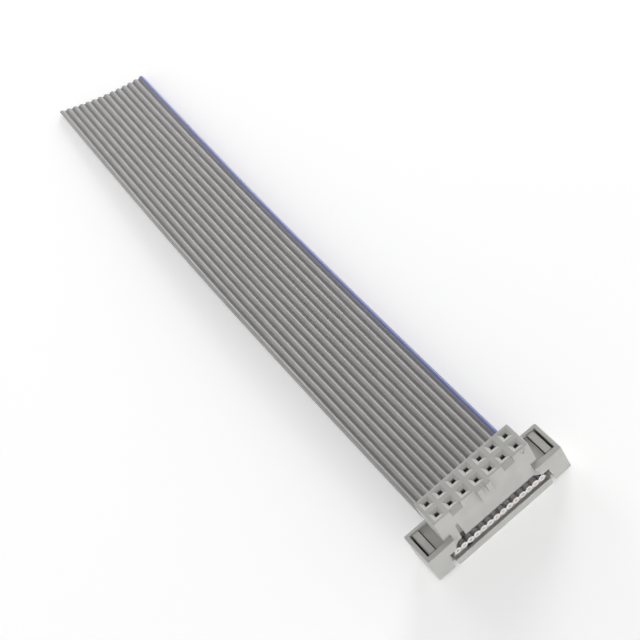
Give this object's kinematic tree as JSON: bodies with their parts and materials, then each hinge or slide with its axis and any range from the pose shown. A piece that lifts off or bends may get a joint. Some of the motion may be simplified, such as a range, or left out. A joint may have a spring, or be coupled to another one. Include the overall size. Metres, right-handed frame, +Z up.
{
  "type": "ribbon cable assembly",
  "caption": "Grey flat ribbon cable crimped into a two-row insulation-displacement socket with a latched cover, its other end cut bare.",
  "frame": {"origin": "middle of the socket's underside, on the surface it stands on", "axes": "+X along the contact rows towards the marked first wire, +Y along the cable away from the socket, +Z up out of the pin entries"},
  "size_m": [0.026, 0.1449, 0.011],
  "materials": {
    "housing_plastic": "satin light grey moulding",
    "cover_plastic": "satin light grey moulding",
    "contact_metal": "tin plated copper alloy",
    "cable_insulation": "soft grey vinyl",
    "wire_metal": "tinned copper"
  },
  "bodies": {
    "root": {"housing": "housing_plastic", "cover": "cover_plastic", "terminal_01": "contact_metal", "terminal_02": "contact_metal", "terminal_03": "contact_metal", "terminal_04": "contact_metal", "terminal_05": "contact_metal", "terminal_06": "contact_metal", "terminal_07": "contact_metal", "terminal_08": "contact_metal", "terminal_09": "contact_metal", "terminal_10": "contact_metal", "terminal_11": "contact_metal", "terminal_12": "contact_metal", "terminal_13": "contact_metal", "terminal_14": "contact_metal", "ribbon_insulation": "cable_insulation", "conductor_01": "wire_metal", "conductor_02": "wire_metal", "conductor_03": "wire_metal", "conductor_04": "wire_metal", "conductor_05": "wire_metal", "conductor_06": "wire_metal", "conductor_07": "wire_metal", "conductor_08": "wire_metal", "conductor_09": "wire_metal", "conductor_10": "wire_metal", "conductor_11": "wire_metal", "conductor_12": "wire_metal", "conductor_13": "wire_metal", "conductor_14": "wire_metal"}
  },
  "joints": []
}
